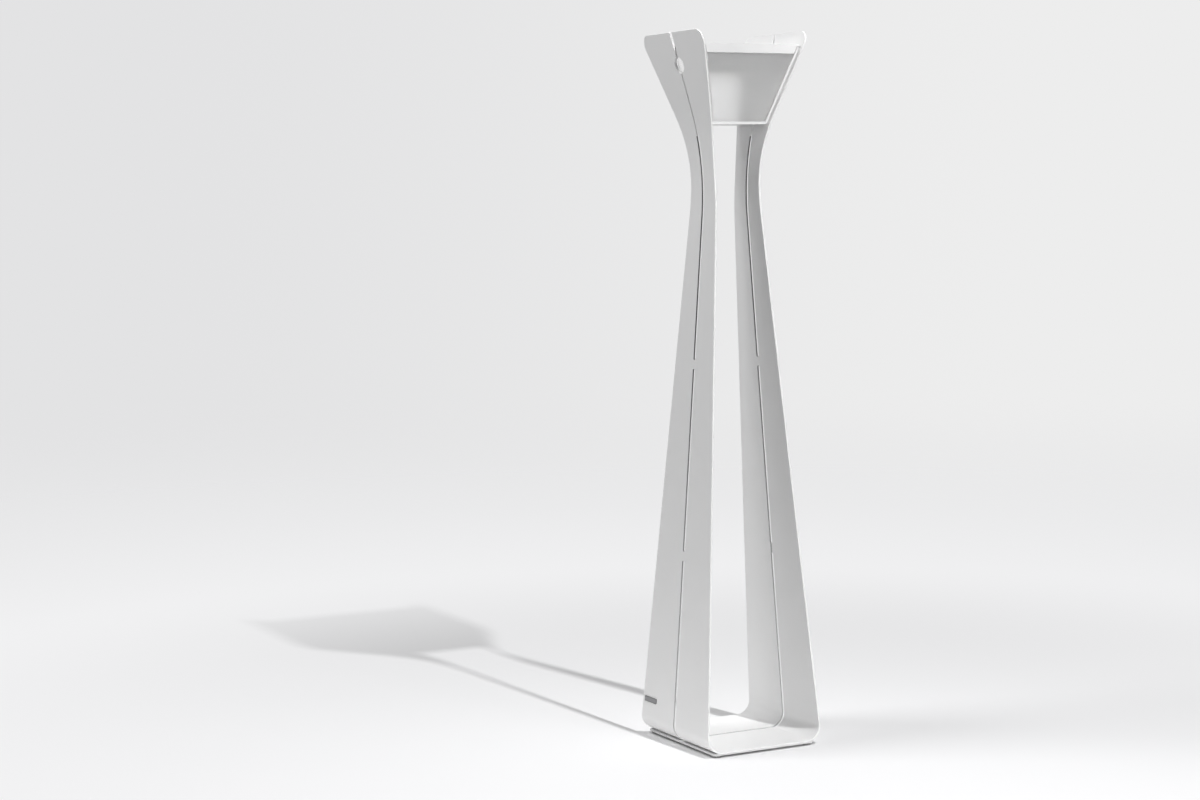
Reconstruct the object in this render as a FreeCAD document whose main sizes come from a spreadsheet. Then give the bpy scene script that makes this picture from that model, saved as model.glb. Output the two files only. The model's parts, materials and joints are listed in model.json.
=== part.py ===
"""Solar floor lamp: a slit sheet-metal stand like an hourglass, with a solar lantern that lifts out."""
import FreeCAD
import Part
import math
import os
import types

import Sketcher

Vector = FreeCAD.Vector

# Driving dimensions: name, millimetres (or degrees, or a count) and meaning
DIMENSIONS = [
    ("overall_height", 1500, "floor to the tips of the wings"),
    ("sheet_thickness", 3.5, "sheet of the stand"),
    ("wing_height", 266, "neck to the tips of the wings"),
    ("neck_half_width", 46.6, "middle of the lamp to where the lines of leg and wing meet"),
    ("leg_lean_angle", 4.3, "degrees that the legs lean in"),
    ("wing_flare_angle", 17, "degrees that the wings flare out"),
    ("neck_radius", 596, "bend between leg and wing"),
    ("base_bend_radius", 30, "inside of the bend between base and leg"),
    ("waist_rise", 10, "narrowest place of the outline above the neck"),
    ("waist_half_depth", 43.4, "half depth where the outlines of leg and wing meet"),
    ("leg_taper_angle", 4.68, "degrees of the legs' outline"),
    ("wing_spread_angle", 19.1, "degrees of the wings' outline"),
    ("waist_radius", 346, "round of the outline at the waist"),
    ("wing_corner_radius", 24, "corners of the wings"),
    ("slit_width", 8.5, "slit along the middle of the sheet"),
    ("wing_slit_width", 4.5, "the slit from above the neck to the finger holes"),
    ("wing_slit_rise", 52, "where it narrows, above the neck"),
    ("bridge_pitch", 404.5, "floor to the first bridge over the slit, and on to the second"),
    ("bridge_length", 19, "length of a bridge"),
    ("finger_hole_diameter", 36, "round hole in each wing"),
    ("finger_hole_drop", 20.5, "underside of the lid to the middle of the hole"),
    ("ballast_thickness", 4.5, "plate under the base"),
    ("ballast_half_width", 122, "half width of that plate"),
    ("ballast_inset", 4, "edge of the plate behind the edge of the base"),
    ("ballast_corner_radius", 8, "corners of the plate"),
    ("foot_height", 4.5, "floor to the plate"),
    ("foot_diameter", 20, "rubber foot"),
    ("foot_edge_distance", 12, "middle of a foot from both edges of the plate"),
    ("foot_draft", 1, "how much narrower a foot is at the floor"),
    ("base_screw_diameter", 5, "screws that hold the plate"),
    ("base_screw_head", 10, "their heads"),
    ("base_screw_depth", 2.6, "how far they reach into the base"),
    ("base_screw_x", 70, "screws from the middle, across"),
    ("base_screw_y", 95, "screws from the middle, in depth"),
    ("fit_clearance", 0.1, "round a screw or a battery cell"),
    ("seat_clearance", 0.3, "between pieces that part or move"),
    ("lantern_rise", 75.5, "neck to the underside of the lantern"),
    ("cradle_height", 157, "underside to the ends of the side flanges"),
    ("cradle_thickness", 5, "sheet of the cradle"),
    ("cradle_bend_radius", 0.8, "inside of the cradle's bends"),
    ("cradle_setback", 10, "edges of the cradle behind the edges of the wings"),
    ("diffuser_thickness", 3, "frosted panels"),
    ("diffuser_recess", 1.5, "panels behind the edges of the cradle"),
    ("diffuser_gap", 0.7, "panels to the flanges"),
    ("stop_size", 5, "square bars behind the panels"),
    ("lid_height", 18, "frame of the solar panel"),
    ("lid_lip", 4.5, "lip of that frame over the flanges"),
    ("lid_gap", 1.5, "frame to the flanges"),
    ("lip_gap", 1.2, "lip to the wings"),
    ("lid_rim", 8, "rim beside the solar panel, at its foot"),
    ("lid_ledge", 14, "ledge below the solar panel"),
    ("glass_thickness", 3.2, "solar glass"),
    ("glass_inset", 0.3, "glass below the rim"),
    ("cell_thickness", 0.3, "solar cells"),
    ("cell_gap", 2, "between cells"),
    ("cell_margin", 5, "cells to the edge of the glass"),
    ("cell_columns", 4, "cells across"),
    ("cell_rows", 3, "cells in depth"),
    ("backsheet_thickness", 0.8, "sheet behind the cells"),
    ("lid_screw_diameter", 4, "screws through the flanges into the lid"),
    ("lid_screw_head", 8, "their heads"),
    ("lid_screw_length", 13, "their length"),
    ("lid_screw_y", 60, "screws from the middle, in depth"),
    ("lid_screw_drop", 11, "screws below the top of the lid"),
    ("gear_inset_width", 17.4, "box of the electrics inside the edge of the solar panel, across"),
    ("gear_inset_depth", 21.8, "the same, in depth"),
    ("gear_depth", 38, "height of that box"),
    ("gear_wall", 2.5, "its walls"),
    ("gear_flange", 18, "its rim"),
    ("gear_screw_diameter", 3, "screws of the box"),
    ("gear_screw_head", 5.6, "their heads"),
    ("gear_screw_head_height", 2, "height of those heads"),
    ("gear_screw_depth", 7, "how far they reach into the lid"),
    ("led_board_inset", 20, "square board of the LEDs inside the edge of the box"),
    ("led_board_thickness", 1.6, "its thickness"),
    ("led_size", 5, "LED, square"),
    ("led_thickness", 0.8, "LED"),
    ("led_pitch", 26, "between LEDs"),
    ("led_count", 4, "LEDs in a row"),
    ("battery_diameter", 18.4, "battery cell"),
    ("battery_length", 65, "battery cell"),
    ("battery_pitch", 20, "between cells"),
    ("battery_count", 3, "cells"),
    ("battery_gap", 5.5, "battery holder to the wall of the box"),
    ("holder_wall", 2, "floor and ends of the battery holder"),
    ("holder_height", 11, "height of the holder"),
    ("control_half_width", 26, "control board"),
    ("control_half_depth", 40, "control board"),
    ("control_thickness", 1.6, "control board"),
    ("control_margin", 1.9, "edge of the control board to its connector"),
    ("post_size", 6, "square posts under the control board"),
    ("post_height", 7, "posts under the control board"),
    ("post_inset", 5, "posts from the edges of the board"),
    ("connector_size", 8, "connector of the lead"),
    ("chip_size", 10, "square chip"),
    ("chip_thickness", 1.4, "square chip"),
    ("terminal_depth", 8, "terminal block"),
    ("terminal_height", 9, "terminal block"),
    ("button_diameter", 32, "push button"),
    ("button_clearance", 0.4, "round the button"),
    ("button_travel", 2, "way that the button goes in"),
    ("button_dish", 0.8, "hollow of its face"),
    ("button_ring", 2.4, "raised ring round the hollow"),
    ("button_rim", 2, "rim behind the flange"),
    ("button_rim_thickness", 1.5, "that rim"),
    ("button_stem_diameter", 6, "stem that meets the switch"),
    ("button_stem_length", 2.2, "stem behind the rim"),
    ("gasket_thickness", 1, "gasket between flange and housing"),
    ("housing_wall", 3.6, "wall of the button's housing"),
    ("housing_floor", 3, "floor of that housing"),
    ("housing_relief", 1, "free space round that housing"),
    ("switch_size", 12, "square switch"),
    ("switch_board_half", 15, "square board of the switch, half side"),
    ("switch_board_thickness", 1.6, "its thickness"),
    ("plunger_diameter", 5, "plunger of the switch"),
    ("plunger_height", 0.8, "plunger of the switch"),
    ("lead_width", 6, "flat lead of the switch"),
    ("lead_thickness", 1.5, "flat lead of the switch"),
    ("lead_slack", 1, "free space round the lead in the wall"),
    ("lead_run", 22, "first run of the lead"),
    ("lead_drop", 7, "second run of the lead"),
    ("lead_bend_radius", 4.5, "bend between them"),
]

DOC = FreeCAD.newDocument("solar_floor_lamp")
SHEET = DOC.addObject("Spreadsheet::Sheet", "Sizes")
CUT_MARGIN = 20  # how far a cutting shape reaches past the piece
SLIT_END_SHARE = 0.9  # share of a slit's half width that rounds its ends
SQUARE_DIAGONAL = math.sqrt(2)


class Size:
    """A size of the sheet, or one worked out from sizes: as an expression and as a number."""

    def __init__(self, text, value):
        self.text = text
        self.value = value

    def __add__(self, other):
        other = as_size(other)
        return Size(f"({self.text} + {other.text})", self.value + other.value)

    def __sub__(self, other):
        other = as_size(other)
        return Size(f"({self.text} - {other.text})", self.value - other.value)

    def __mul__(self, other):
        other = as_size(other)
        return Size(f"({self.text} * {other.text})", self.value * other.value)

    __rmul__ = __mul__

    def __truediv__(self, other):
        other = as_size(other)
        return Size(f"({self.text} / {other.text})", self.value / other.value)

    def __neg__(self):
        return Size(f"(0 - {self.text})", -self.value)


def as_size(thing):
    """A plain number as a Size."""
    if isinstance(thing, Size):
        return thing
    return Size(str(thing), float(thing))


def sine(angle):
    """Sine of an angle in degrees."""
    return Size(f"sin({angle.text})", math.sin(math.radians(angle.value)))


def cosine(angle):
    """Cosine of an angle in degrees."""
    return Size(f"cos({angle.text})", math.cos(math.radians(angle.value)))


def tangent(angle):
    """Tangent of an angle in degrees."""
    return Size(f"tan({angle.text})", math.tan(math.radians(angle.value)))


def fill_sheet():
    """Write the driving dimensions to the sheet and return them by name."""
    sizes = {}
    for row, (alias, value, meaning) in enumerate(DIMENSIONS, start=1):
        SHEET.set(f"A{row}", meaning)
        SHEET.set(f"B{row}", str(value))
        SHEET.setAlias(f"B{row}", alias)
        sizes[alias] = Size(f"Sizes.{alias}", float(value))
    DOC.recompute()
    return types.SimpleNamespace(**sizes)


size = fill_sheet()

# Levels and places that several pieces share
base_level = size.foot_height + size.ballast_thickness
neck = size.overall_height - size.wing_height
waist = neck + size.waist_rise
lantern_level = neck + size.lantern_rise
flange_top = lantern_level + size.cradle_height
lid_top = flange_top + size.lid_lip
lid_bottom = lid_top - size.lid_height
finger_hole_level = lid_bottom - size.finger_hole_drop
gear_floor = lid_bottom - size.gear_depth
solar_depth = size.glass_inset + size.glass_thickness + size.cell_thickness + size.backsheet_thickness


def wing_middle(level):
    """Half distance between the middles of the two wing sheets at a level."""
    return size.neck_half_width + tangent(size.wing_flare_angle) * (level - neck)


def wing_face(level):
    """Half distance between the inner faces of the wings."""
    return wing_middle(level) - size.sheet_thickness / 2 / cosine(size.wing_flare_angle)


def flange_face(level):
    """Half distance between the inner faces of the cradle's flanges."""
    return wing_face(level) - (size.seat_clearance + size.cradle_thickness) / cosine(size.wing_flare_angle)


def leg_edge(level):
    """Half depth of the legs' outline."""
    return size.waist_half_depth + tangent(size.leg_taper_angle) * (waist - level)


def wing_edge(level):
    """Half depth of the wings' outline."""
    return size.waist_half_depth + tangent(size.wing_spread_angle) * (level - waist)


def cradle_edge(level):
    """Half depth of the cradle's outline."""
    return wing_edge(level) - size.cradle_setback


def diffuser_face(level):
    """Half distance between the outer faces of the two diffusers."""
    return cradle_edge(level) - size.diffuser_recess


def diffuser_back(level):
    """Half distance between their inner faces."""
    return diffuser_face(level) - size.diffuser_thickness / cosine(size.wing_spread_angle)


solar_half_width = flange_face(lid_bottom) - size.lid_gap - size.lid_rim
solar_half_depth = cradle_edge(lid_bottom) - size.lid_rim
gear_half_width = solar_half_width - size.gear_inset_width
gear_half_depth = solar_half_depth - size.gear_inset_depth
ballast_half_depth = leg_edge(base_level) - size.ballast_inset


def bind(thing, path, value):
    """Tie one property of a document object to the sheet."""
    thing.setExpression(path, as_size(value).text)


def new_body(label):
    """An empty body whose label names its file."""
    body = DOC.addObject("PartDesign::Body", label)
    body.Label = label
    return body


def origin_plane(body, role):
    """One of the body's own three planes."""
    return next(item for item in body.Origin.OriginFeatures if item.Role == role)


def sketch_on(body, role, level=None):
    """A sketch on one of the body's planes, lifted off it by a level."""
    sketch = body.newObject("Sketcher::SketchObject", "sketch")
    sketch.AttachmentSupport = [(origin_plane(body, role), "")]
    sketch.MapMode = "FlatFace"
    if level is not None:
        bind(sketch, "AttachmentOffset.Base.z", level)
    return sketch


def tilt(sketch, across, up, out, axis, angle):
    """Move a sketch's own origin and turn the sketch about an axis there."""
    sketch.AttachmentOffset = FreeCAD.Placement(Vector(), FreeCAD.Rotation(axis, angle.value))
    bind(sketch, "AttachmentOffset.Base.x", across)
    bind(sketch, "AttachmentOffset.Base.y", up)
    bind(sketch, "AttachmentOffset.Base.z", out)
    bind(sketch, "AttachmentOffset.Rotation.Angle", angle)


def dimension(sketch, kind, *where, value):
    """A sketch dimension tied to the sheet."""
    value = as_size(value)
    index = sketch.addConstraint(Sketcher.Constraint(kind, *where, value.value))
    sketch.setExpression(f"Constraints[{index}]", value.text)


def pin(sketch, item, point, across, up):
    """Give a point its distances from the sketch's origin."""
    dimension(sketch, "DistanceX", -1, 1, item, point, value=across)
    dimension(sketch, "DistanceY", -1, 1, item, point, value=up)


def circle(sketch, diameter, across=0, up=0):
    """A circle at a place of the sketch."""
    across = as_size(across)
    up = as_size(up)
    diameter = as_size(diameter)
    middle = Vector(across.value, up.value, 0)
    item = sketch.addGeometry(Part.Circle(middle, Vector(0, 0, 1), diameter.value / 2))
    dimension(sketch, "Diameter", item, value=diameter)
    pin(sketch, item, 3, across, up)


def rounding(before, corner, after, radius):
    """Where a rounded corner leaves its two lines, its middle, and whether it turns left."""
    back = (before - corner).normalize()
    ahead = (after - corner).normalize()
    half = back.getAngle(ahead) / 2
    reach = radius / math.tan(half)
    inward = (back + ahead).normalize()
    turns_left = (back.cross(ahead)).z < 0
    middle = corner + inward * (radius / math.sin(half))
    return corner + back * reach, corner + ahead * reach, middle, turns_left


def add_rounding(sketch, begin, finish, middle, radius, turns_left):
    """Draw the arc of a rounded corner and return it with its first and last point."""
    angles = []
    for point in (begin, finish):
        arm = point - middle
        angles.append(math.atan2(arm.y, arm.x))
    if not turns_left:
        angles.reverse()
    if angles[1] < angles[0]:
        angles[1] += 2 * math.pi
    ring = Part.Circle(middle, Vector(0, 0, 1), radius.value)
    arc = sketch.addGeometry(Part.ArcOfCircle(ring, angles[0], angles[1]))
    dimension(sketch, "Radius", arc, value=radius)
    return (arc, 1, 2) if turns_left else (arc, 2, 1)


def draw(sketch, corners, closed=True):
    """Lines from corner to corner; a corner is (across, up) or (across, up, radius)."""
    places = [Vector(as_size(corner[0]).value, as_size(corner[1]).value, 0) for corner in corners]
    radii = [corner[2] if len(corner) > 2 else None for corner in corners]
    count = len(corners)
    leaves = list(places)
    arrives = list(places)
    arcs = {}
    for number, radius in enumerate(radii):
        if radius is not None:
            before = places[number - 1]
            after = places[(number + 1) % count]
            begin, finish, middle, turns_left = rounding(before, places[number], after, radius.value)
            arrives[number] = begin
            leaves[number] = finish
            arcs[number] = (begin, finish, middle, radius, turns_left)
    runs = count if closed else count - 1
    lines = []
    for number in range(runs):
        line = Part.LineSegment(leaves[number], arrives[(number + 1) % count])
        lines.append(sketch.addGeometry(line))
    for number, corner in enumerate(corners):
        comes = lines[number - 1] if closed or number > 0 else None
        goes = lines[number] if number < runs else None
        if number in arcs:
            arc, first, last = add_rounding(sketch, *arcs[number])
            sketch.addConstraint(Sketcher.Constraint("Tangent", comes, 2, arc, first))
            sketch.addConstraint(Sketcher.Constraint("Tangent", arc, last, goes, 1))
            point = sketch.addGeometry(Part.Point(places[number]), True)
            pin(sketch, point, 1, corner[0], corner[1])
            sketch.addConstraint(Sketcher.Constraint("PointOnObject", point, 1, comes))
            sketch.addConstraint(Sketcher.Constraint("PointOnObject", point, 1, goes))
            continue
        if comes is not None and goes is not None:
            sketch.addConstraint(Sketcher.Constraint("Coincident", comes, 2, goes, 1))
        if goes is not None:
            pin(sketch, goes, 1, corner[0], corner[1])
        else:
            pin(sketch, comes, 2, corner[0], corner[1])


def rectangle(sketch, left, right, low, high, radius=None):
    """A rectangle between four distances, with round corners if a radius is given."""
    ends = [(left, low), (right, low), (right, high), (left, high)]
    if radius is not None:
        ends = [end + (radius,) for end in ends]
    draw(sketch, ends)


def centred(sketch, half_width, half_depth, radius=None):
    """A rectangle about the sketch's origin."""
    rectangle(sketch, -as_size(half_width), half_width, -as_size(half_depth), half_depth, radius)


def pad(body, sketch, length):
    """Thicken a sketch along its normal."""
    feature = body.newObject("PartDesign::Pad", "pad")
    feature.Profile = sketch
    bind(feature, "Length", length)
    DOC.recompute()


def must_cut(body, feature):
    """Stop where a cut takes nothing away."""
    before = body.Shape.Volume
    DOC.recompute()
    if not body.Shape.Volume < before:
        raise RuntimeError(f"{body.Label}: a cut of {feature.Name} takes nothing away")


def pocket(body, sketch, length=None, upward=False, may_miss=False):
    """Cut a sketch to a depth below it, or through the whole piece both ways."""
    DOC.recompute()
    feature = body.newObject("PartDesign::Pocket", "pocket")
    feature.Profile = sketch
    if length is None:
        feature.Type = "ThroughAll"
        feature.SideType = "Symmetric"
    else:
        bind(feature, "Length", length)
        feature.Reversed = upward
    if may_miss:
        DOC.recompute()
    else:
        must_cut(body, feature)


def drill(body, sketch, length):
    """Cut a sketch to half a length on each side of it."""
    DOC.recompute()
    feature = body.newObject("PartDesign::Pocket", "pocket")
    feature.Profile = sketch
    feature.SideType = "Symmetric"
    bind(feature, "Length", length)
    must_cut(body, feature)


def turned(body, sketch, axis="V_Axis", cut=False):
    """Turn a sketch once round one of its axes."""
    DOC.recompute()
    kind = "PartDesign::Groove" if cut else "PartDesign::Revolution"
    feature = body.newObject(kind, "turned")
    feature.Profile = sketch
    feature.ReferenceAxis = (sketch, [axis])
    feature.Angle = 360
    if cut:
        must_cut(body, feature)
    else:
        DOC.recompute()


def wedge(body, levels, outline):
    """A block between two levels whose left, right, front and back follow the level."""
    feature = body.newObject("PartDesign::AdditiveWedge", "wedge")
    feature.Placement = FreeCAD.Placement(Vector(), FreeCAD.Rotation(Vector(1, 0, 0), 90))
    for end, level, mark in (("Ymin", levels[0], ""), ("Ymax", levels[1], "2")):
        left, right, front, back = outline(level)
        bind(feature, end, level)
        bind(feature, f"X{mark}min", left)
        bind(feature, f"X{mark}max", right)
        bind(feature, f"Z{mark}min", -back)
        bind(feature, f"Z{mark}max", -front)
    DOC.recompute()


def swept(body, section, path):
    """Carry a section along a path."""
    feature = body.newObject("PartDesign::AdditivePipe", "swept")
    feature.Profile = section
    feature.Spine = path
    DOC.recompute()


def mirrored(body, *roles):
    """Add the mirror image of all that the body holds so far, once for each plane."""
    for role in roles:
        feature = body.newObject("PartDesign::Mirrored", "mirrored")
        feature.TransformMode = "Whole shape"
        feature.MirrorPlane = (origin_plane(body, role), [""])
        body.Tip = feature
        DOC.recompute()


def block(label, low, high):
    """A plain block between two corners."""
    item = DOC.addObject("Part::Box", label)
    item.Label = label
    for side, place, start, stop in zip(("Length", "Width", "Height"), "xyz", low, high):
        bind(item, side, as_size(stop) - start)
        bind(item, f"Placement.Base.{place}", start)
    return item


def group(label, items):
    """Like pieces that share one node."""
    item = DOC.addObject("Part::Compound", label)
    item.Label = label
    item.Links = items
    DOC.recompute()
    return item


def screw_profile(sketch, head, shank, length, slack=0):
    """Half section of a countersunk screw along the sketch's first axis, its head at the origin."""
    slack = as_size(slack)
    shank_half = shank / 2 + slack
    cone = head / 2 - shank / 2
    end = length + slack
    draw(sketch, [(0, 0), (end, 0), (end, shank_half), (cone, shank_half), (0, head / 2 + slack)])


def bent_sheet(body, path_corners, half_depth, low, thickness):
    """A sheet that starts flat at a level and follows a path of bends."""
    path = sketch_on(body, "XZ_Plane")
    draw(path, path_corners, closed=False)
    section = sketch_on(body, "YZ_Plane")
    rectangle(section, -half_depth, half_depth, low, low + thickness)
    DOC.recompute()
    swept(body, section, path)


def trim_edges(body, corners):
    """Cut the sheet's outline on both sides in depth."""
    for side in (1, -1):
        outline = sketch_on(body, "YZ_Plane")
        draw(outline, [(as_size(corner[0]) * side,) + corner[1:] for corner in corners])
        pocket(body, outline)


def slot(sketch, half_width, low, high, round_low, round_high):
    """A slit between two levels, with round ends where they are in the sheet."""
    lower = [(-half_width, low), (half_width, low)]
    upper = [(half_width, high), (-half_width, high)]
    ends = []
    for end, is_round in ((lower, round_low), (upper, round_high)):
        for corner in end:
            ends.append(corner + (half_width * SLIT_END_SHARE,) if is_round else corner)
    draw(sketch, ends)


def corner_places(across, deep):
    """The four places that mirror each other."""
    return [(side * across, end * deep) for side in (1, -1) for end in (1, -1)]


def frame_strip():
    """The stand: base, legs and wings from one bent sheet, with slits and finger holes."""
    body = new_body("frame_strip")
    half_sheet = size.sheet_thickness / 2
    base_middle = base_level + half_sheet
    corner = size.neck_half_width + tangent(size.leg_lean_angle) * (neck - base_middle)
    tip = size.overall_height - half_sheet * sine(size.wing_flare_angle)
    path = [
        (0, base_middle),
        (corner, base_middle, size.base_bend_radius + half_sheet),
        (size.neck_half_width, neck, size.neck_radius),
        (wing_middle(tip), tip),
    ]
    bent_sheet(body, path, leg_edge(base_level) + CUT_MARGIN, base_level, size.sheet_thickness)

    low = as_size(0)
    top = size.overall_height
    past = top + CUT_MARGIN
    far = leg_edge(low) + CUT_MARGIN * 2
    tip_flat = wing_edge(top) - size.wing_corner_radius * 2
    trim_edges(body, [
        (leg_edge(low), low),
        (size.waist_half_depth, waist, size.waist_radius),
        (wing_edge(top), top, size.wing_corner_radius),
        (tip_flat, top),
        (tip_flat, past),
        (far, past),
        (far, low),
    ])

    half_slit = size.slit_width / 2
    half_bridge = size.bridge_length / 2
    lower_bridge = size.bridge_pitch
    upper_bridge = size.bridge_pitch * 2
    slits = sketch_on(body, "YZ_Plane")
    slot(slits, half_slit, low, lower_bridge - half_bridge, False, True)
    slot(slits, half_slit, lower_bridge + half_bridge, upper_bridge - half_bridge, True, True)
    slot(slits, half_slit, upper_bridge + half_bridge, neck + size.wing_slit_rise, True, False)
    slot(slits, half_slit, finger_hole_level, past, False, False)
    pocket(body, slits)
    wing_slit = sketch_on(body, "YZ_Plane")
    slot(wing_slit, size.wing_slit_width / 2, neck, finger_hole_level, False, False)
    pocket(body, wing_slit)

    hole = sketch_on(body, "YZ_Plane")
    tilt(hole, 0, finger_hole_level, wing_middle(finger_hole_level), Vector(1, 0, 0), size.wing_flare_angle)
    circle(hole, size.finger_hole_diameter)
    drill(body, hole, size.sheet_thickness * 4)
    mirrored(body, "YZ_Plane")

    threads = sketch_on(body, "XY_Plane", base_level)
    for across, deep in corner_places(size.base_screw_x, size.base_screw_y):
        circle(threads, size.base_screw_diameter + size.fit_clearance * 2, across, deep)
    pocket(body, threads, size.base_screw_depth + size.fit_clearance, upward=True)
    return body


def base_screw_sketch(body, across, deep, reach, slack=0):
    """Half section of a screw that comes up through the plate into the base."""
    sketch = sketch_on(body, "XZ_Plane")
    tilt(sketch, across, size.foot_height, -deep, Vector(0, 0, 1), as_size(90))
    screw_profile(sketch, size.base_screw_head, size.base_screw_diameter, reach, slack)
    return sketch


def ballast_plate():
    """Steel plate below the base, with countersunk screw holes."""
    body = new_body("ballast_plate")
    plate = sketch_on(body, "XY_Plane", size.foot_height)
    centred(plate, size.ballast_half_width, ballast_half_depth, size.ballast_corner_radius)
    pad(body, plate, size.ballast_thickness)
    reach = size.ballast_thickness + CUT_MARGIN
    for across, deep in corner_places(size.base_screw_x, size.base_screw_y):
        turned(body, base_screw_sketch(body, across, deep, reach, size.fit_clearance), "H_Axis", cut=True)
    return body


def ballast_screws():
    """Four countersunk screws."""
    body = new_body("ballast_screws")
    reach = size.ballast_thickness + size.base_screw_depth
    screw = base_screw_sketch(body, size.base_screw_x, size.base_screw_y, reach)
    turned(body, screw, "H_Axis")
    mirrored(body, "XZ_Plane", "YZ_Plane")
    return body


def feet():
    """Four rubber feet, glued under the plate."""
    body = new_body("feet")
    foot = sketch_on(body, "XZ_Plane")
    tilt(foot, foot_x, 0, -foot_y, Vector(0, 0, 1), as_size(0))
    half = size.foot_diameter / 2
    draw(foot, [(0, 0), (half - size.foot_draft, 0), (half, size.foot_height), (0, size.foot_height)])
    turned(body, foot)
    mirrored(body, "XZ_Plane", "YZ_Plane")
    return body


def lid_screw_sketch(body, side, deep, slack=0):
    """Half section of a screw through a flange, square to it; the right side is 1, the left -1."""
    level = lid_top - size.lid_screw_drop
    sketch = sketch_on(body, "XZ_Plane")
    outer_face = wing_face(level) - size.seat_clearance / cosine(size.wing_flare_angle)
    angle = as_size(180) - size.wing_flare_angle if side > 0 else size.wing_flare_angle
    tilt(sketch, outer_face * side, level, -deep, Vector(0, 0, 1), angle)
    screw_profile(sketch, size.lid_screw_head, size.lid_screw_diameter, size.lid_screw_length, slack)
    return sketch


def bore_at_button(body, radius, depth, may_miss=False):
    """Cut a round space about the button's axis, from the outside of the left flange to a depth."""
    bore = sketch_on(body, "YZ_Plane")
    tilt(bore, 0, button_level, button_x, Vector(1, 0, 0), -size.wing_flare_angle)
    circle(bore, radius * 2)
    pocket(body, bore, depth, upward=True, may_miss=may_miss)


def relieve_housing(body):
    """Leave free space round the button's housing and the switch board."""
    bore_at_button(body, housing_outer + size.housing_relief, lead_start + size.housing_relief, may_miss=True)


def cradle():
    """Folded U of the lantern: a floor and two flanges that lie along the wings."""
    body = new_body("cradle")
    half_sheet = size.cradle_thickness / 2
    floor_middle = lantern_level + half_sheet
    tip = flange_top - half_sheet * sine(size.wing_flare_angle)

    def flange_middle(level):
        return flange_face(level) + half_sheet / cosine(size.wing_flare_angle)

    path = [
        (0, floor_middle),
        (flange_middle(floor_middle), floor_middle, size.cradle_bend_radius + half_sheet),
        (flange_middle(tip), tip),
    ]
    low = lantern_level - CUT_MARGIN
    high = flange_top + CUT_MARGIN
    far = cradle_edge(high) + CUT_MARGIN
    bent_sheet(body, path, cradle_edge(high), lantern_level, size.cradle_thickness)
    trim_edges(body, [(cradle_edge(low), low), (cradle_edge(high), high), (far, high), (far, low)])
    for deep in (size.lid_screw_y, -size.lid_screw_y):
        turned(body, lid_screw_sketch(body, 1, deep, size.fit_clearance), "H_Axis", cut=True)
    mirrored(body, "YZ_Plane")
    bore_at_button(body, size.button_diameter / 2 + size.button_clearance, size.cradle_thickness)
    return body


def diffuser(label, turn):
    """Frosted panel between the flanges, on the cradle's floor; turned half round for the other side."""
    body = new_body(label)

    def outline(level):
        half_width = flange_face(level) - size.diffuser_gap
        return -half_width, half_width, diffuser_back(level), diffuser_face(level)

    wedge(body, (lantern_level + size.cradle_thickness, lid_bottom - size.seat_clearance), outline)
    body.Placement = FreeCAD.Placement(Vector(), FreeCAD.Rotation(Vector(0, 0, 1), turn))
    return body


def diffuser_stops():
    """Four bars on the flanges, behind the panels."""
    body = new_body("diffuser_stops")

    def outline(level):
        face = flange_face(level)
        back = diffuser_back(level)
        return face - size.stop_size, face, back - size.stop_size, back

    low = lantern_level + size.cradle_thickness + size.stop_size
    wedge(body, (low, lid_bottom - size.seat_clearance), outline)
    mirrored(body, "XZ_Plane", "YZ_Plane")
    return body


def lid_frame():
    """Frame of the solar panel: a skirt between the flanges and a lip over their ends."""
    body = new_body("lid_frame")

    def skirt(level):
        half_width = flange_face(level) - size.lid_gap
        return -half_width, half_width, -cradle_edge(level), cradle_edge(level)

    def lip(level):
        half_width = wing_face(level) - size.lip_gap
        return -half_width, half_width, -cradle_edge(level), cradle_edge(level)

    joint = flange_top + size.seat_clearance
    wedge(body, (lid_bottom, joint), skirt)
    wedge(body, (joint, lid_top), lip)
    recess = sketch_on(body, "XY_Plane", lid_top)
    centred(recess, solar_half_width, solar_half_depth)
    pocket(body, recess, solar_depth)
    opening = sketch_on(body, "XY_Plane", lid_top)
    centred(opening, solar_half_width - size.lid_ledge, solar_half_depth - size.lid_ledge)
    pocket(body, opening)
    threads = sketch_on(body, "XY_Plane", lid_bottom)
    for deep in (gear_screw_y, -gear_screw_y):
        circle(threads, size.gear_screw_diameter + size.fit_clearance * 2, 0, deep)
    pocket(body, threads, size.gear_screw_depth + size.fit_clearance, upward=True)
    for side, deep in corner_places(1, size.lid_screw_y):
        turned(body, lid_screw_sketch(body, side, deep, size.fit_clearance), "H_Axis", cut=True)
    relieve_housing(body)
    return body


def lid_screws():
    """Four countersunk screws through the flanges."""
    body = new_body("lid_screws")
    turned(body, lid_screw_sketch(body, 1, size.lid_screw_y), "H_Axis")
    mirrored(body, "XZ_Plane", "YZ_Plane")
    return body


def solar_glass():
    """Glass of the solar panel, just below the rim."""
    across = solar_half_width - size.seat_clearance
    deep = solar_half_depth - size.seat_clearance
    top = lid_top - size.glass_inset
    return block("solar_glass", (-across, -deep, top - size.glass_thickness), (across, deep, top))


def solar_cells():
    """Rows of cells under the glass."""
    columns = size.cell_columns
    rows = size.cell_rows
    low = lid_top - solar_depth + size.backsheet_thickness
    width = ((solar_half_width - size.cell_margin) * 2 - size.cell_gap * (columns - 1)) / columns
    depth = ((solar_half_depth - size.cell_margin) * 2 - size.cell_gap * (rows - 1)) / rows
    cells = []
    for column in range(round(columns.value)):
        for row in range(round(rows.value)):
            left = size.cell_margin - solar_half_width + (width + size.cell_gap) * column
            front = size.cell_margin - solar_half_depth + (depth + size.cell_gap) * row
            corner = (left + width, front + depth, low + size.cell_thickness)
            cells.append(block("solar_cell", (left, front, low), corner))
    return group("solar_cells", cells)


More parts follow.
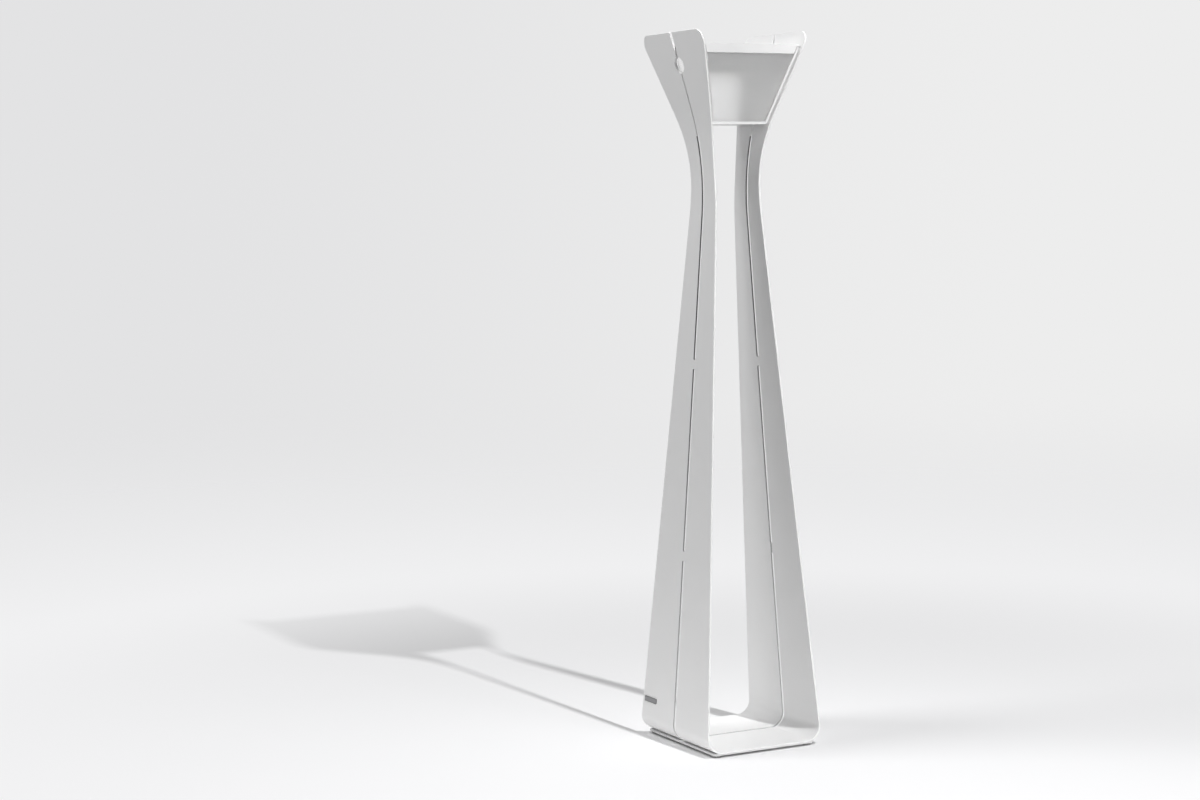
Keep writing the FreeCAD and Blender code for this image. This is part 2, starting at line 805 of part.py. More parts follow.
def solar_backsheet():
    """Sheet behind the cells, on the ledge of the lid."""
    across = solar_half_width - size.seat_clearance
    deep = solar_half_depth - size.seat_clearance
    low = lid_top - solar_depth
    return block("solar_backsheet", (-across, -deep, low), (across, deep, low + size.backsheet_thickness))


def gear_box():
    """Open box of the electrics, which hangs by its rim under the lid."""
    body = new_body("gear_box")
    rim = sketch_on(body, "XY_Plane", lid_bottom - size.gear_wall)
    centred(rim, gear_half_width + size.gear_flange, gear_half_depth + size.gear_flange)
    pad(body, rim, size.gear_wall)
    walls = sketch_on(body, "XY_Plane", gear_floor)
    centred(walls, gear_half_width, gear_half_depth)
    pad(body, walls, size.gear_depth)
    inside = sketch_on(body, "XY_Plane", lid_bottom)
    centred(inside, gear_half_width - size.gear_wall, gear_half_depth - size.gear_wall)
    pocket(body, inside, size.gear_depth - size.gear_wall)
    posts = sketch_on(body, "XY_Plane", gear_floor + size.gear_wall)
    across = size.control_half_width - size.post_inset
    deep = size.control_half_depth - size.post_inset
    half = size.post_size / 2
    for x, y in corner_places(across, deep):
        middle = control_middle + x
        rectangle(posts, middle - half, middle + half, y - half, y + half)
    pad(body, posts, size.post_height)
    holes = sketch_on(body, "XY_Plane", lid_bottom)
    for deep in (gear_screw_y, -gear_screw_y):
        circle(holes, size.gear_screw_diameter + size.fit_clearance * 2, 0, deep)
    pocket(body, holes, size.gear_wall)
    entry = sketch_on(body, "YZ_Plane", -gear_half_width)
    half_width = size.lead_width / 2 + size.lead_slack
    half_height = size.lead_thickness / 2 + size.lead_slack
    rectangle(entry, -half_width, half_width, lead_entry - half_height, lead_entry + half_height)
    pocket(body, entry, size.gear_wall, upward=True)
    relieve_housing(body)
    return body


def gear_box_screws():
    """Two pan-head screws that hold the box."""
    body = new_body("gear_box_screws")
    screw = sketch_on(body, "XZ_Plane")
    tilt(screw, 0, lid_bottom - size.gear_wall, -gear_screw_y, Vector(0, 0, 1), as_size(0))
    head = size.gear_screw_head / 2
    shank = size.gear_screw_diameter / 2
    reach = size.gear_wall + size.gear_screw_depth
    under = -size.gear_screw_head_height
    draw(screw, [(0, under), (head, under), (head, 0), (shank, 0), (shank, reach), (0, reach)])
    turned(body, screw)
    mirrored(body, "XZ_Plane")
    return body


def led_board():
    """Metal-core board under the box."""
    half = gear_half_depth - size.led_board_inset
    return block("led_board", (-half, -half, gear_floor - size.led_board_thickness), (half, half, gear_floor))


def leds():
    """A square field of LEDs that shine down."""
    top = gear_floor - size.led_board_thickness
    half = size.led_size / 2
    first = -(size.led_pitch * (size.led_count - 1) / 2)
    items = []
    for column in range(round(size.led_count.value)):
        for row in range(round(size.led_count.value)):
            x = first + size.led_pitch * column
            y = first + size.led_pitch * row
            corner = (x - half, y - half, top - size.led_thickness)
            items.append(block("led", corner, (x + half, y + half, top)))
    return group("leds", items)


def battery_places():
    """Middles of the battery cells across the box."""
    first = battery_middle - size.battery_pitch * (size.battery_count - 1) / 2
    return [first + size.battery_pitch * number for number in range(round(size.battery_count.value))]


def battery_circles(body, diameter):
    """Round sections of the cells."""
    sketch = sketch_on(body, "XZ_Plane")
    for x in battery_places():
        circle(sketch, diameter, x, battery_level)
    return sketch


def battery_cells():
    """Round cells that lie side by side."""
    body = new_body("battery_cells")
    sketch = battery_circles(body, size.battery_diameter)
    feature = body.newObject("PartDesign::Pad", "pad")
    feature.Profile = sketch
    feature.SideType = "Symmetric"
    bind(feature, "Length", size.battery_length)
    DOC.recompute()
    return body


def battery_holder():
    """Tray with a trough for each cell."""
    body = new_body("battery_holder")
    half_depth = size.battery_length / 2 + size.holder_wall
    left = battery_middle - holder_half_width
    right = battery_middle + holder_half_width
    floor = sketch_on(body, "XY_Plane", gear_floor + size.gear_wall)
    rectangle(floor, left, right, -half_depth, half_depth)
    pad(body, floor, size.holder_height)
    troughs = battery_circles(body, size.battery_diameter + size.fit_clearance * 2)
    drill(body, troughs, size.battery_length + size.fit_clearance * 2)
    return body


def control_board():
    """Charge and light controller on its posts."""
    half = size.control_half_width
    deep = size.control_half_depth
    top = control_level + size.control_thickness
    left = control_middle - half
    return block("control_board", (left, -deep, control_level), (control_middle + half, deep, top))


def board_parts():
    """Connector under the lead, chip and terminal block of the controller."""
    top = control_level + size.control_thickness
    half = size.connector_size / 2
    chip = size.chip_size / 2
    middle = control_middle
    back = size.control_half_depth - size.post_inset
    width = size.control_half_width - size.post_inset - size.post_size
    front = back - size.terminal_depth
    terminal_top = top + size.terminal_height
    items = [
        block("connector", (lead_end_x - half, -half, top), (lead_end_x + half, half, lead_end_level)),
        block("chip", (middle - chip, -chip, top), (middle + chip, chip, top + size.chip_thickness)),
        block("terminals", (middle - width, front, top), (middle + width, back, terminal_top)),
    ]
    return group("board_parts", items)


def place_at_button(thing, depth):
    """Stand a piece on the left flange with its own Z pointing into the lantern."""
    angle = as_size(90) - size.wing_flare_angle
    thing.Placement = FreeCAD.Placement(Vector(), FreeCAD.Rotation(Vector(0, 1, 0), angle.value))
    bind(thing, "Placement.Rotation.Angle", angle)
    bind(thing, "Placement.Base.x", button_x + as_size(depth) * cosine(size.wing_flare_angle))
    bind(thing, "Placement.Base.z", button_level + as_size(depth) * sine(size.wing_flare_angle))


def button_piece(label, corners):
    """A turned piece about the button's axis."""
    body = new_body(label)
    half_section = sketch_on(body, "XZ_Plane")
    draw(half_section, corners)
    turned(body, half_section)
    place_at_button(body, 0)
    return body


def button_cap():
    """Turned cap with a raised ring on its face, a rim behind the flange and a stem."""
    half = size.button_diameter / 2
    inner = half - size.button_ring
    rim = half + size.button_rim
    stem = size.button_stem_diameter / 2
    rim_back = button_back + size.button_rim_thickness
    return button_piece("button_cap", [
        (0, size.button_dish),
        (inner, size.button_dish),
        (inner + size.button_dish, 0),
        (half, 0),
        (half, button_back),
        (rim, button_back),
        (rim, rim_back),
        (stem, rim_back),
        (stem, stem_end),
        (0, stem_end),
    ])


def button_gasket():
    """Flat ring between flange and housing."""
    low = size.cradle_thickness
    high = low + size.gasket_thickness
    return button_piece("button_gasket", [
        (housing_bore, low),
        (housing_outer, low),
        (housing_outer, high),
        (housing_bore, high),
    ])


def button_housing():
    """Guide of the button, with a hole for the switch in its floor."""
    low = size.cradle_thickness + size.gasket_thickness
    hole = size.switch_size / 2 * SQUARE_DIAGONAL + size.seat_clearance
    return button_piece("button_housing", [
        (housing_bore, low),
        (housing_outer, low),
        (housing_outer, housing_end),
        (hole, housing_end),
        (hole, switch_top),
        (housing_bore, switch_top),
    ])


def switch_board():
    """Square board that closes the housing."""
    body = new_body("switch_board")
    outline = sketch_on(body, "XY_Plane", housing_end)
    centred(outline, size.switch_board_half, size.switch_board_half)
    pad(body, outline, size.switch_board_thickness)
    place_at_button(body, 0)
    return body


def switch_body():
    """Square push switch with its plunger."""
    body = new_body("switch_body")
    case = sketch_on(body, "XY_Plane", switch_top)
    half = size.switch_size / 2
    centred(case, half, half)
    pad(body, case, size.housing_floor)
    plunger = sketch_on(body, "XY_Plane", switch_top - size.plunger_height)
    circle(plunger, size.plunger_diameter)
    pad(body, plunger, size.plunger_height)
    place_at_button(body, 0)
    return body


def switch_lead():
    """Short flat lead from the switch into the box and down to its connector."""
    body = new_body("switch_lead")
    path = sketch_on(body, "XZ_Plane")
    across = size.lead_drop * cosine(size.wing_flare_angle)
    down = size.lead_drop * sine(size.wing_flare_angle)
    draw(path, [
        (0, 0),
        (0, size.lead_run, size.lead_bend_radius),
        (across, size.lead_run - down),
    ], closed=False)
    section = sketch_on(body, "XY_Plane")
    centred(section, size.lead_thickness / 2, size.lead_width / 2)
    DOC.recompute()
    swept(body, section, path)
    place_at_button(body, lead_start)
    return body


# Places that belong to several of the pieces above
foot_x = size.ballast_half_width - size.foot_edge_distance
foot_y = ballast_half_depth - size.foot_edge_distance
gear_screw_y = solar_half_depth - size.lid_ledge / 2
control_level = gear_floor + size.gear_wall + size.post_height
battery_level = gear_floor + size.gear_wall + size.holder_wall + size.battery_diameter / 2
button_reach = size.sheet_thickness / 2 + size.seat_clearance
button_x = button_reach * cosine(size.wing_flare_angle) - wing_middle(finger_hole_level)
button_level = finger_hole_level + button_reach * sine(size.wing_flare_angle)
button_back = size.cradle_thickness + size.seat_clearance
stem_end = button_back + size.button_rim_thickness + size.button_stem_length
switch_top = stem_end + size.button_travel + size.seat_clearance + size.plunger_height
housing_end = switch_top + size.housing_floor
housing_bore = size.button_diameter / 2 + size.button_rim + size.button_clearance
housing_outer = housing_bore + size.housing_wall
lead_start = housing_end + size.switch_board_thickness
lead_end_x = button_x + (lead_start + size.lead_run) * cosine(size.wing_flare_angle)
lead_end_level = button_level + (lead_start + size.lead_run) * sine(size.wing_flare_angle) - size.lead_drop
lead_entry = button_level - (button_x + gear_half_width) * tangent(size.wing_flare_angle)
control_middle = lead_end_x - size.connector_size / 2 - size.control_margin + size.control_half_width
holder_half_width = size.battery_pitch * size.battery_count / 2 + size.holder_wall
battery_middle = gear_half_width - size.gear_wall - size.battery_gap - holder_half_width


def main():
    """Build every piece, check it and write its file."""
    pieces = [
        frame_strip(),
        ballast_plate(),
        ballast_screws(),
        feet(),
        cradle(),
        diffuser("rear_diffuser", 0),
        diffuser("front_diffuser", 180),
        diffuser_stops(),
        lid_frame(),
        lid_screws(),
        solar_glass(),
        solar_cells(),
        solar_backsheet(),
        gear_box(),
        gear_box_screws(),
        led_board(),
        leds(),
        battery_holder(),
        battery_cells(),
        control_board(),
        board_parts(),
        button_cap(),
        button_gasket(),
        button_housing(),
        switch_board(),
        switch_body(),
        switch_lead(),
    ]
    DOC.recompute()
    for item in DOC.Objects:
        if "Invalid" in item.State or "Error" in item.State:
            raise RuntimeError(f"{item.Label} failed: {item.State}")
    for piece in pieces:
        if piece.Shape.isNull() or not piece.Shape.isValid():
            raise RuntimeError(f"{piece.Label} has no valid shape")
    os.makedirs("parts", exist_ok=True)
    for piece in pieces:
        piece.Shape.exportStep(f"parts/{piece.Label}.step")
        print(piece.Label, len(piece.Shape.Solids), round(piece.Shape.Volume), piece.Shape.BoundBox)


main()
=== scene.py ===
"""Solar floor lamp: a bent steel strip that carries a lift-out lantern under a solar panel.

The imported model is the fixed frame. Its outer pieces get broken edges and a finish each, the name
plate and the sockets of the screws are modelled here, and a pale studio stands round the lamp.
"""

import json
from math import cos, pi, radians, sin, sqrt, tan

import bpy
from mathutils import Matrix, Vector

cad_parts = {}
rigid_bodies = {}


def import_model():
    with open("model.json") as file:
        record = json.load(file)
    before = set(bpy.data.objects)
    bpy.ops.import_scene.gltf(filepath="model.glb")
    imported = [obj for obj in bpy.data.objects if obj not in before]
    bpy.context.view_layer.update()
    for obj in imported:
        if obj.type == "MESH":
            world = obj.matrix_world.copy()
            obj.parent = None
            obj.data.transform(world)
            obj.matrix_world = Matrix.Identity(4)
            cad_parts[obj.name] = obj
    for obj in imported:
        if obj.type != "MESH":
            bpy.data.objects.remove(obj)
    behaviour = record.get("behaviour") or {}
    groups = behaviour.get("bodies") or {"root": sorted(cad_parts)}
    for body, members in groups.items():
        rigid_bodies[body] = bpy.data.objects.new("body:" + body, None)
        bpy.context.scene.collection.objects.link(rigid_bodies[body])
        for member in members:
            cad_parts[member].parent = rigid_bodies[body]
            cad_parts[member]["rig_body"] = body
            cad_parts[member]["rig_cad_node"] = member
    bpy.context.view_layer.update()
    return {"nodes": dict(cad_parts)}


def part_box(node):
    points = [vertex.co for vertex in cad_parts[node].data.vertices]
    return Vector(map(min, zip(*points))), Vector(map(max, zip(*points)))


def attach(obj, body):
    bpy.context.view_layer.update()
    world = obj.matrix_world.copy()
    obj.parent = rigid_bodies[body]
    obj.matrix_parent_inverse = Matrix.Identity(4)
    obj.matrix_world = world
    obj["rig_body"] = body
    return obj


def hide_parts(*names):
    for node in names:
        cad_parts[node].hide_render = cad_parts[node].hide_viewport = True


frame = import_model()
NODES = frame["nodes"]

bl_info = {
    "name": "Solar Floor Lamp",
    "version": (1, 0, 0),
    "blender": (4, 5, 0),
    "location": "View3D > Sidebar > Lamp",
    "description": "Dresses a solar floor lamp and sets it in a pale studio",
    "category": "Object",
}

MM = 0.001

# The legs lean in and the wings flare out from a neck at this height, as the strip is bent.
LEG_LEAN = radians(4.3)
WING_FLARE = radians(17)
NECK_HEIGHT = 1234 * MM
NECK_HALF_WIDTH = 46.6 * MM
SHEET_THICKNESS = 3.5 * MM

# The slit has this half width up to a step above the neck, and is narrower from there on.
SLIT_HALF_WIDTH = 4.25 * MM
SLIT_STEP_HEIGHT = NECK_HEIGHT + 52 * MM

# The slit's walls below the step are painted as shade: at the floor they keep this share of the coat's
# colour, less with height, and none from here up.
COAT_SHARE_AT_FLOOR = 0.7
FULL_SHADE_HEIGHT = 900 * MM

# Middle of the name plate on the left leg, its corners, and the groove with sloping walls in its face.
PLATE_Y = 105 * MM
PLATE_Z = 80 * MM
PLATE_CORNER = 1.5 * MM
PLATE_CORNER_SEGMENTS = 4
PLATE_EDGE = 0.1 * MM
PLATE_MARGIN = 0.9 * MM
GROOVE_OUTER_WALL = 0.5 * MM
GROOVE_INNER_WALL = 0.3 * MM
GROOVE_DEPTH = 0.2 * MM

# Length of the hexagon that cuts a screw's socket, in widths of the socket. Half of it sinks in.
KEY_LENGTH = 1.2

# Places of the softboxes, what they look at, and the camera.
LIGHT_AIM = Vector((0, 0, 0.7))
KEY_PLACE = Vector((0.165, -1.667, 2.97))
FILL_PLACE = Vector((-1.6, 0.6, 3.3))
FRONT_PLACE = Vector((0.4, -3.1, 1.1))
GLINT_PLACE = Vector((1.7, -1.93, 0.25))
BACK_PLACE = Vector((1.6, 3.0, 1.6))
CAMERA_PLACE = Vector((-2.5238, -4.2324, 1.1633))
SENSOR_WIDTH = 36

# Towards the right of the photograph, square to the way that it looks. The backdrop is paler there.
ACROSS = (0.885, -0.465, 0)
BACKDROP_BLEND = 0.2

# Between these shares of the floor's radius its bounce dims, its white grows and its rim fades out.
BOUNCE_DIMS = (0.05, 0.14)
WHITE_GROWS = (0.055, 0.27)
RIM_FADES = (0.2, 1.0)
NEAR_BOUNCE = 1.2
FAR_BOUNCE = 0.5
FLOOR_CORNERS = 96

MERGE_DISTANCE = 1e-6
FLAT_ANGLE = radians(0.05)
EDGE_ANGLE = radians(30)
SMOOTH_ANGLE = radians(35)

# Two unit vectors count as pointing the same way when their dot product is above this.
SAME_WAY = 0.9

# A Mix node that mixes colours. Its sockets go by number, because other kinds share their names.
COLOUR_MIX = {"data_type": "RGBA"}
MIX_SHARE = 0
MIX_FIRST = 6
MIX_SECOND = 7
MIX_RESULT = 2

# A Wave texture turns by this many radians over one unit of its scaled coordinates.
WAVE_TURN = 20

# A pattern that isn't stretched.
EVEN = (1, 1, 1)


def linear(code):
    """Scene-linear RGBA of an sRGB hex code."""
    parts = [int(code[place:place + 2], 16) / 255 for place in (1, 3, 5)]
    return [p / 12.92 if p <= 0.04045 else ((p + 0.055) / 1.055) ** 2.4 for p in parts] + [1.0]


def opaque(colour):
    """RGBA of a colour property."""
    return [*colour, 1.0]


def shade(colour, share):
    """A darker or lighter tone of an RGBA colour."""
    return [min(1.0, part * share) for part in colour[:3]] + [1.0]


# Settings


def length_setting(name, description, value):
    """A length in metres, given in millimetres."""
    return bpy.props.FloatProperty(
        name=name, description=description, default=value * MM, min=0, precision=4,
        subtype="DISTANCE", unit="LENGTH",
    )


def colour_setting(name, description, code):
    """A colour, given as an sRGB hex code."""
    return bpy.props.FloatVectorProperty(
        name=name, description=description, default=linear(code)[:3], size=3, min=0, max=1,
        subtype="COLOR",
    )


def power_setting(name, description, watts):
    """The power of a light."""
    return bpy.props.FloatProperty(
        name=name, description=description, default=watts, min=0, subtype="POWER", unit="POWER",
    )


def strength_setting(name, description, value):
    """The strength of the light from all round."""
    return bpy.props.FloatProperty(name=name, description=description, default=value, min=0)


def angle_setting(name, description, degrees):
    """An angle in radians, given in degrees."""
    return bpy.props.FloatProperty(
        name=name, description=description, default=radians(degrees), subtype="ANGLE",
    )


class LampSizes(bpy.types.PropertyGroup):
    """Sizes that the drawing of the metalwork leaves open."""

    sheet_edge: length_setting("Sheet edge", "Radius on the cut edges of the coated strip", 0.5)
    panel_edge: length_setting("Panel edge", "Radius on edges of plate, feet, cradle and diffusers", 0.5)
    lid_edge: length_setting("Lid edge", "Radius on the edges of the moulded lid", 1.2)
    small_edge: length_setting("Small edge", "Radius on the edges of small pieces and of the glass", 0.3)
    plate_length: length_setting("Name plate length", "Length of the bare name plate", 50)
    plate_height: length_setting("Name plate height", "Height of the bare name plate", 11)
    plate_thickness: length_setting("Name plate thickness", "Thickness of the bare name plate", 0.8)
    socket_width: length_setting("Screw socket", "Width across flats of the hexagon sockets", 3)


class LampColours(bpy.types.PropertyGroup):
    """Colours of the finishes."""

    coat: colour_setting("Coat", "Powder coat of the stand and its plate", "#EEEEEE")
    # Whiter than the stand's coat; part of that is painted light, for light on the cradle's front edges.
    cradle: colour_setting("Cradle", "Powder coat of the lantern's cradle", "#F7F7F7")
    acrylic: colour_setting("Diffuser", "Opal acrylic of the diffusers", "#FFFFFF")
    lid: colour_setting("Lid", "Moulded lid of the lantern", "#EDEDED")
    plate: colour_setting("Name plate", "Anodised name plate", "#949495")
    rubber: colour_setting("Feet", "Rubber of the feet", "#A2A2A1")
    cell: colour_setting("Solar cell", "Coated silicon of the solar cells", "#10162A")
    button: colour_setting("Button", "Turned stainless steel of the push button", "#FDFDFC")


class LampStage(bpy.types.PropertyGroup):
    """Studio and camera."""

    key_power: power_setting("Key light", "Power of the small softbox high in front", 60)
    key_size: length_setting("Key size", "Side of the small softbox high in front", 60)
    fill_power: power_setting("Fill light", "Power of the softbox high at the left", 40)
    front_power: power_setting("Front light", "Power of the softbox straight in front", 15)
    back_power: power_setting("Back light", "Power of the softbox behind", 1.8)
    softbox_size: length_setting("Softbox size", "Side of the softboxes left, in front and behind", 1000)
    glint_power: power_setting("Glint", "Power of the low softbox that the lid mirrors", 3)
    glint_size: length_setting("Glint size", "Side of the low softbox that the lid mirrors", 400)
    soft_from: bpy.props.FloatVectorProperty(
        name="Soft light from", description="Where the soft light is strongest",
        default=(0.05, 0.95, 0.15), size=3, subtype="DIRECTION",
    )
    soft_near: strength_setting("Soft light", "Strength of the soft light on its bright side", 0.44)
    soft_far: strength_setting("Soft shade", "Strength of the soft light on the side away from it", 0.05)
    floor_radius: length_setting("Floor", "Radius of the floor, which fades out towards its rim", 9000)
    floor_colour: colour_setting("Floor colour", "Painted studio floor", "#EDEDEE")
    floor_lift: bpy.props.FloatProperty(
        name="Floor lift", description="Share of plain white in the far floor that the eye sees",
        default=0.75, min=0, max=1, subtype="FACTOR",
    )
    background: colour_setting("Background", "Colour behind the floor, at the right", "#EDEDED")
    background_left: colour_setting("Left background", "Colour behind the floor, at the left", "#E3E3E4")
    yaw: angle_setting("Yaw", "Turn of the camera about the vertical", 27.667)
    pitch: angle_setting("Pitch", "How far the camera looks down", 4.995)
    roll: angle_setting("Roll", "Turn of the camera about its own axis", 0.759)
    lens: bpy.props.FloatProperty(
        name="Lens", description="Focal length on a 36 mm sensor", default=69.87, min=1,
        subtype="DISTANCE_CAMERA",
    )


# Materials


def add_node(tree, kind, settings=None, inputs=None):
    """Add a node, set it up, and fill or link its inputs, which go by name or by number."""
    node = tree.nodes.new(kind)
    for name, value in (settings or {}).items():
        setattr(node, name, value)
    for name, value in (inputs or {}).items():
        if isinstance(value, bpy.types.NodeSocket):
            tree.links.new(value, node.inputs[name])
        else:
            node.inputs[name].default_value = value
    return node


def new_material(name, values):
    """A material, its tree and its Principled shader, which has these values."""
    material = bpy.data.materials.new(name)
    material.use_nodes = True
    tree = material.node_tree
    surface = tree.nodes["Principled BSDF"]
    for socket, value in values.items():
        surface.inputs[socket].default_value = value
    return material, tree, surface


def per_metre(millimetres):
    """Noise scale that gives lumps of this size on Object coordinates in metres."""
    return 1 / (millimetres * MM)


def vary(tree, surface, place, lumps, tones, rough, stretch=EVEN):
    """Drift the colour and roughness over lumps of a size in millimetres; gives the colour."""
    turned = add_node(tree, "ShaderNodeMapping", inputs={"Vector": place, "Scale": stretch})
    noise = add_node(tree, "ShaderNodeTexNoise", inputs={
        "Vector": turned.outputs["Vector"], "Scale": per_metre(lumps), "Detail": 3.0, "Roughness": 0.55,
    })
    tone = add_node(tree, "ShaderNodeMix", COLOUR_MIX, {
        MIX_SHARE: noise.outputs["Fac"], MIX_FIRST: tones[0], MIX_SECOND: tones[1],
    })
    sheen = add_node(tree, "ShaderNodeMapRange", inputs={
        "Value": noise.outputs["Fac"], "To Min": rough[0], "To Max": rough[1],
    })
    tree.links.new(tone.outputs[MIX_RESULT], surface.inputs["Base Color"])
    tree.links.new(sheen.outputs["Result"], surface.inputs["Roughness"])
    return tone.outputs[MIX_RESULT]


def grain(tree, surface, place, lumps, depth, strength, stretch=EVEN):
    """Raise the surface in lumps of a given size and depth in millimetres."""
    turned = add_node(tree, "ShaderNodeMapping", inputs={"Vector": place, "Scale": stretch})
    noise = add_node(tree, "ShaderNodeTexNoise", inputs={
        "Vector": turned.outputs["Vector"], "Scale": per_metre(lumps), "Detail": 2.0, "Roughness": 0.5,
    })
    bump = add_node(tree, "ShaderNodeBump", inputs={
        "Height": noise.outputs["Fac"], "Distance": depth * MM, "Strength": strength,
    })
    tree.links.new(bump.outputs["Normal"], surface.inputs["Normal"])


def object_place(tree):
    """Object coordinates, in metres."""
    return add_node(tree, "ShaderNodeTexCoord").outputs["Object"]


def powder_coated_steel(name, colour):
    """Polyester powder baked on steel: an even satin skin with a shallow orange peel."""
    material, tree, surface = new_material(name, {"IOR": 1.5})
    place = object_place(tree)
    tones = shade(colour, 0.975), shade(colour, 1.015)
    vary(tree, surface, place, lumps=160, tones=tones, rough=(0.36, 0.46))
    # The real peel is about 2 mm across; it is drawn at 5 mm so that it shows.
    grain(tree, surface, place, lumps=5, depth=0.05, strength=0.35)
    return material


def paint_slit_shade(coat):
    """Painted shade on the laser-cut walls of the narrow slit, where little light gets in: dark grey,
    lighter towards the floor.
    """
    material, tree, surface = new_material("slit_wall_painted_shade", {"IOR": 1.5})
    place = object_place(tree)
    # Drag lines run through the sheet about 0.3 mm apart; they are drawn at 1 mm so that they show.
    drag = (0.1, 1, 1)
    tones = linear("#5E5E60"), linear("#77777A")
    # Dark grey painted shade, which stands for the shade inside the narrow slit.
    painted_slit_shade = vary(tree, surface, place, lumps=1, tones=tones, rough=(0.45, 0.6), stretch=drag)
    height = add_node(tree, "ShaderNodeSeparateXYZ", inputs={"Vector": place})
    # The painted shade lightens towards the floor, where more of the coat's colour is mixed in.
    coat_share = add_node(tree, "ShaderNodeMapRange", inputs={
        "Value": height.outputs["Z"], "From Max": FULL_SHADE_HEIGHT, "To Min": COAT_SHARE_AT_FLOOR, "To Max": 0.0,
    })
    tone = add_node(tree, "ShaderNodeMix", COLOUR_MIX, {
        MIX_SHARE: coat_share.outputs["Result"], MIX_FIRST: painted_slit_shade, MIX_SECOND: coat,
    })
    tree.links.new(tone.outputs[MIX_RESULT], surface.inputs["Base Color"])
    grain(tree, surface, place, lumps=1, depth=0.03, strength=0.4, stretch=drag)
    return material


def frosted_acrylic(colour):
    """Cast opal acrylic, acid-frosted: milky, it glows with what is lit behind it and has little gloss."""
    material, tree, surface = new_material("frosted_opal_acrylic", {
        "IOR": 1.49, "Transmission Weight": 0.8,
    })
    place = object_place(tree)
    tones = shade(colour, 0.985), shade(colour, 1.0)
    vary(tree, surface, place, lumps=90, tones=tones, rough=(0.28, 0.34))
    # Frosting pits are tens of microns; they are drawn at 1.5 mm so that they show.
    grain(tree, surface, place, lumps=1.5, depth=0.02, strength=0.3)
    return material


def moulded_plastic(name, colour, rough):
    """Injection-moulded plastic: a spark-eroded grain breaks up its semi-gloss."""
    material, tree, surface = new_material(name, {"IOR": 1.53})
    place = object_place(tree)
    tones = shade(colour, 0.96), shade(colour, 1.02)
    vary(tree, surface, place, lumps=70, tones=tones, rough=(rough - 0.05, rough + 0.05))
    # The eroded grain is about 0.1 mm; it is drawn at 1.2 mm so that it shows.
    grain(tree, surface, place, lumps=1.2, depth=0.03, strength=0.4)
    return material


def moulded_rubber(name, colour):
    """Moulded rubber: dull, dusty in places, with a fine open grain."""
    material, tree, surface = new_material(name, {"IOR": 1.52, "Specular IOR Level": 0.3})
    place = object_place(tree)
    tones = shade(colour, 0.85), shade(colour, 1.1)
    vary(tree, surface, place, lumps=8, tones=tones, rough=(0.7, 0.9))
    grain(tree, surface, place, lumps=0.8, depth=0.05, strength=0.6)
    return material


def zinc_plated_steel():
    """Bright zinc on steel screws: grey metal with a faint blue and yellow cast from the passivation."""
    material, tree, surface = new_material("zinc_plated_steel", {"Metallic": 1.0})
    place = object_place(tree)
    tones = linear("#B4BAC4"), linear("#C9C6B8")
    vary(tree, surface, place, lumps=4, tones=tones, rough=(0.28, 0.42))
    grain(tree, surface, place, lumps=0.5, depth=0.01, strength=0.4)
    return material


def brushed_aluminium(name, colour, rough):
    """Brushed and anodised aluminium: fine lines along the length stretch the highlight across them."""
    material, tree, surface = new_material(name, {"Metallic": 1.0})
    place = object_place(tree)
    # Brush lines are hundredths of a millimetre apart; they are drawn at 0.5 mm so that they show.
    brushed = (1, 0.02, 1)
    tones = shade(colour, 0.82), shade(colour, 1.15)
    rough_range = rough - 0.08, rough + 0.08
    vary(tree, surface, place, lumps=0.5, tones=tones, rough=rough_range, stretch=brushed)
    grain(tree, surface, place, lumps=0.5, depth=0.01, strength=0.5, stretch=brushed)
    return material


def turned_stainless(colour, middle, axis_turn):
    """Stainless steel faced on a lathe: rings round the axis and a satin sheen that mirrors pale walls."""
    material, tree, surface = new_material("turned_stainless_steel", {"Metallic": 1.0})
    place = object_place(tree)
    centred = add_node(tree, "ShaderNodeMapping", {"vector_type": "TEXTURE"}, {
        "Vector": place, "Location": middle, "Rotation": axis_turn,
    })
    tones = shade(colour, 0.97), shade(colour, 1.02)
    vary(tree, surface, place, lumps=6, tones=tones, rough=(0.18, 0.26))
    # Lathe rings are a few hundredths of a millimetre apart; they are drawn 3.77 mm apart to show.
    ring_pitch = 3.77 * MM
    rings = add_node(tree, "ShaderNodeTexWave", {"wave_type": "RINGS", "rings_direction": "Z"}, {
        "Vector": centred.outputs["Vector"], "Scale": 2 * pi / (WAVE_TURN * ring_pitch), "Distortion": 0.4,
    })
    bump = add_node(tree, "ShaderNodeBump", inputs={
        "Height": rings.outputs["Fac"], "Distance": 0.01 * MM, "Strength": 0.4,
    })
    tree.links.new(bump.outputs["Normal"], surface.inputs["Normal"])
    return material


def patterned_glass():
    """Tempered low-iron solar glass: clear, with a shallow rolled texture that softens reflections."""
    material, tree, surface = new_material("rolled_low_iron_glass", {
        "Base Color": linear("#F6FBFA"), "IOR": 1.52, "Transmission Weight": 1.0,
    })
    place = object_place(tree)
    noise = add_node(tree, "ShaderNodeTexNoise", inputs={"Vector": place, "Scale": per_metre(60)})
    rough = add_node(tree, "ShaderNodeMapRange", inputs={
        "Value": noise.outputs["Fac"], "To Min": 0.04, "To Max": 0.1,
    })
    tree.links.new(rough.outputs["Result"], surface.inputs["Roughness"])
    grain(tree, surface, place, lumps=2, depth=0.03, strength=0.15)
    return material


